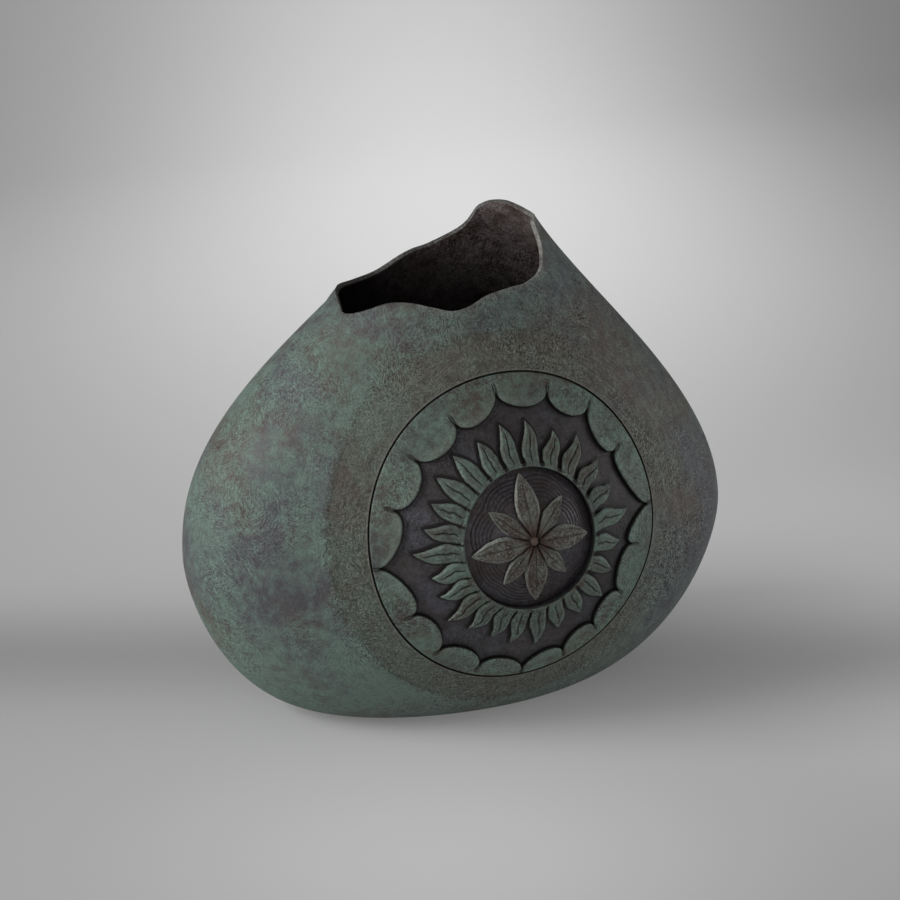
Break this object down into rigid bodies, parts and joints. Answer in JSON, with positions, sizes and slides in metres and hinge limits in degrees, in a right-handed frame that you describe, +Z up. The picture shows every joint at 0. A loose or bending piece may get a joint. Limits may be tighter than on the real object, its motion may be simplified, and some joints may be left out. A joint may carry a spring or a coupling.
{
  "type": "flower vase",
  "caption": "Flattened cast-bronze flower vase with a wavy slanting lip and a domed round medallion of scalloped border, flame leaves and flower let into its front",
  "frame": {"origin": "bottom centre of the bounding box, on the surface that the vase stands on", "axes": "+X to the right as the medallion is faced, -Y out of the medallion, +Z up"},
  "size_m": [0.2999, 0.1871, 0.2567],
  "materials": {
    "shell_bronze": "dark bronze under rubbed grey-green patina",
    "base_bronze": "plain dark bronze, unpolished",
    "solder": "dull grey soft solder",
    "ground_bronze": "violet-grey matte patina",
    "relief_bronze": "grey-green patina, rubbed on the crowns",
    "bowl_bronze": "near-black brown patina, chased",
    "flower_bronze": "brown and green patina, chased",
    "boss_bronze": "reddish brown patina"
  },
  "bodies": {
    "root": {"body_shell": "shell_bronze", "base_plate": "base_bronze", "base_seal": "solder", "medallion_ground": "ground_bronze", "scalloped_border": "relief_bronze", "bowl_collar": "relief_bronze", "flower_bowl": "bowl_bronze", "flame_01": "relief_bronze", "flame_02": "relief_bronze", "flame_03": "relief_bronze", "flame_04": "relief_bronze", "flame_05": "relief_bronze", "flame_06": "relief_bronze", "flame_07": "relief_bronze", "flame_08": "relief_bronze", "flame_09": "relief_bronze", "flame_10": "relief_bronze", "flame_11": "relief_bronze", "flame_12": "relief_bronze", "flame_13": "relief_bronze", "flame_14": "relief_bronze", "flame_15": "relief_bronze", "flame_16": "relief_bronze", "flame_17": "relief_bronze", "flame_18": "relief_bronze", "flame_19": "relief_bronze", "flame_20": "relief_bronze", "flame_21": "relief_bronze", "flame_22": "relief_bronze", "flame_23": "relief_bronze", "flame_24": "relief_bronze", "flame_25": "relief_bronze", "long_petal_1": "flower_bronze", "short_petal_1": "flower_bronze", "long_petal_2": "flower_bronze", "short_petal_2": "flower_bronze", "long_petal_3": "flower_bronze", "short_petal_3": "flower_bronze", "long_petal_4": "flower_bronze", "short_petal_4": "flower_bronze", "flower_boss": "boss_bronze"}
  },
  "joints": []
}
